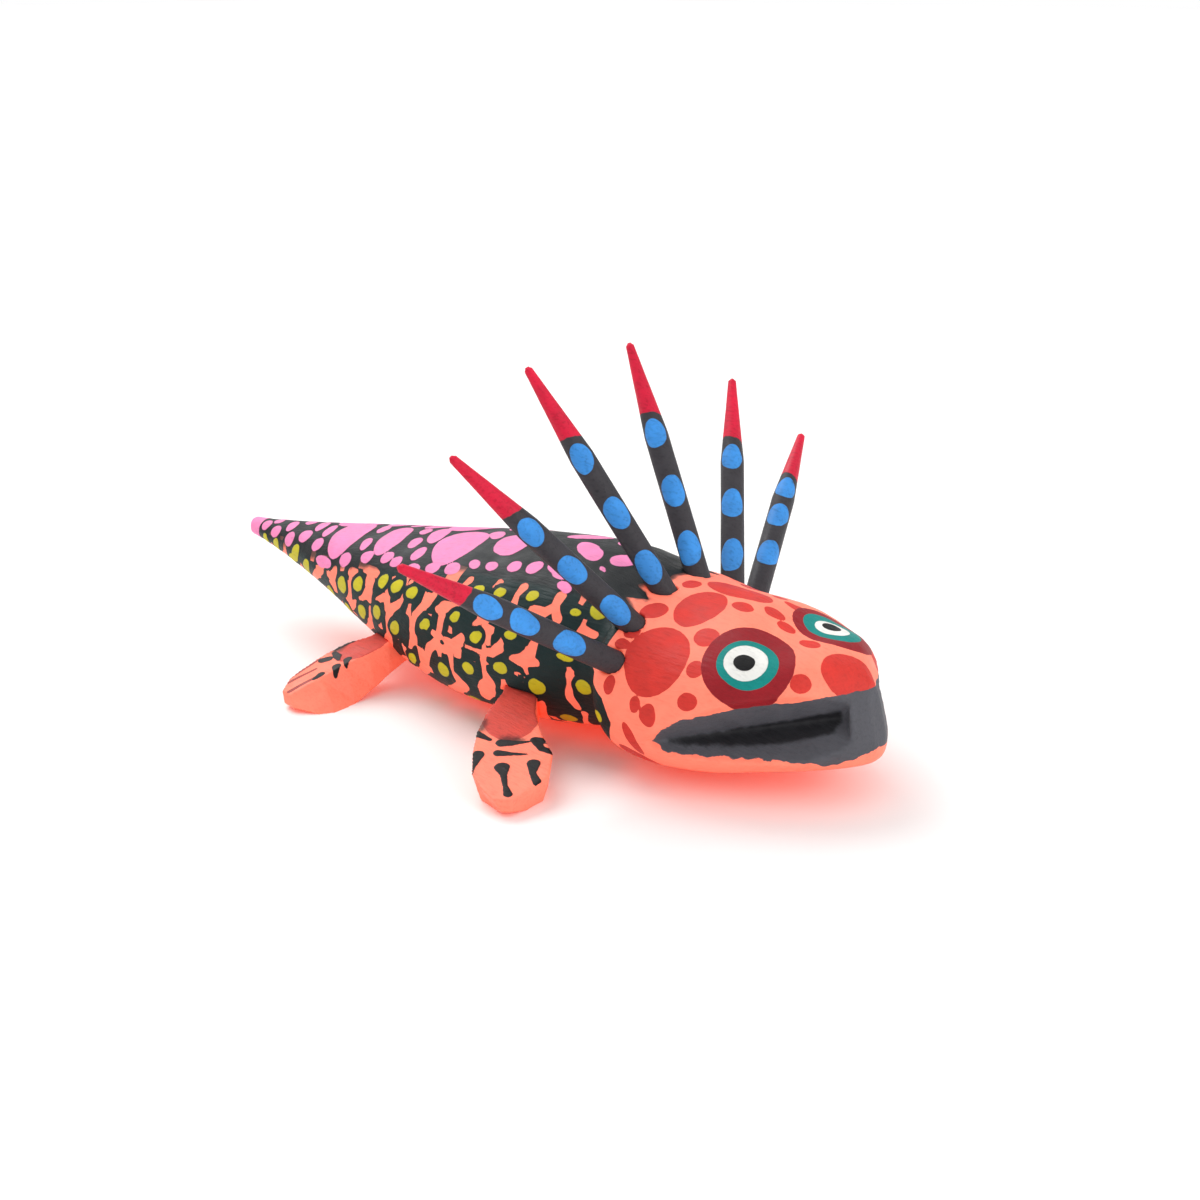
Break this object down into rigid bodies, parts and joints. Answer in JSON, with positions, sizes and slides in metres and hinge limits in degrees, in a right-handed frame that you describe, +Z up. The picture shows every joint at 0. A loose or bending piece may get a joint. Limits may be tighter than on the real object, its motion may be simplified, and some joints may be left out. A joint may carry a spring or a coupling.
{
  "type": "alebrije figure",
  "caption": "Hand-carved, painted wooden axolotl that stands on splayed legs, with pull-out gill rods fanned around a broad flat head.",
  "frame": {"origin": "on the standing surface, under the middle of the figure's bounding box", "axes": "+Z up, +Y from the head to the tail, +X to the animal's left"},
  "size_m": [0.0776, 0.1084, 0.0468],
  "materials": {
    "body": "satin hand-painted coral over carved wood",
    "front_right_leg": "satin hand-painted coral over carved wood",
    "front_left_leg": "satin hand-painted coral over carved wood",
    "rear_right_leg": "satin hand-painted coral over carved wood",
    "rear_left_leg": "satin hand-painted coral over carved wood",
    "front_right_dowel": "bare turned wood",
    "front_left_dowel": "bare turned wood",
    "rear_right_dowel": "bare turned wood",
    "rear_left_dowel": "bare turned wood",
    "gill_right_low": "satin charcoal paint with coloured dots and a red tip",
    "gill_right_middle": "satin charcoal paint with coloured dots and a red tip",
    "gill_right_high": "satin charcoal paint with coloured dots and a red tip",
    "gill_left_low": "satin charcoal paint with coloured dots and a red tip",
    "gill_left_middle": "satin charcoal paint with coloured dots and a red tip",
    "gill_left_high": "satin charcoal paint with coloured dots and a red tip"
  },
  "bodies": {
    "figure": {"body": "body", "front_right_leg": "front_right_leg", "front_left_leg": "front_left_leg", "rear_right_leg": "rear_right_leg", "rear_left_leg": "rear_left_leg", "front_right_dowel": "front_right_dowel", "front_left_dowel": "front_left_dowel", "rear_right_dowel": "rear_right_dowel", "rear_left_dowel": "rear_left_dowel"},
    "gill_right_low": {"gill_right_low": "gill_right_low"},
    "gill_right_middle": {"gill_right_middle": "gill_right_middle"},
    "gill_right_high": {"gill_right_high": "gill_right_high"},
    "gill_left_low": {"gill_left_low": "gill_left_low"},
    "gill_left_middle": {"gill_left_middle": "gill_left_middle"},
    "gill_left_high": {"gill_left_high": "gill_left_high"}
  },
  "joints": [
    {"name": "gill_right_low_pull", "type": "slide", "parent": "figure", "child": "gill_right_low", "axis": [-0.7964, 0.3227, 0.5115], "range_m": [0, 0.009]},
    {"name": "gill_right_middle_pull", "type": "slide", "parent": "figure", "child": "gill_right_middle", "axis": [-0.5537, 0.4254, 0.7158], "range_m": [0, 0.009]},
    {"name": "gill_right_high_pull", "type": "slide", "parent": "figure", "child": "gill_right_high", "axis": [-0.1984, 0.5159, 0.8334], "range_m": [0, 0.009]},
    {"name": "gill_left_low_pull", "type": "slide", "parent": "figure", "child": "gill_left_low", "axis": [0.7964, 0.3227, 0.5115], "range_m": [0, 0.009]},
    {"name": "gill_left_middle_pull", "type": "slide", "parent": "figure", "child": "gill_left_middle", "axis": [0.5537, 0.4254, 0.7158], "range_m": [0, 0.009]},
    {"name": "gill_left_high_pull", "type": "slide", "parent": "figure", "child": "gill_left_high", "axis": [0.1984, 0.5159, 0.8334], "range_m": [0, 0.009]}
  ]
}
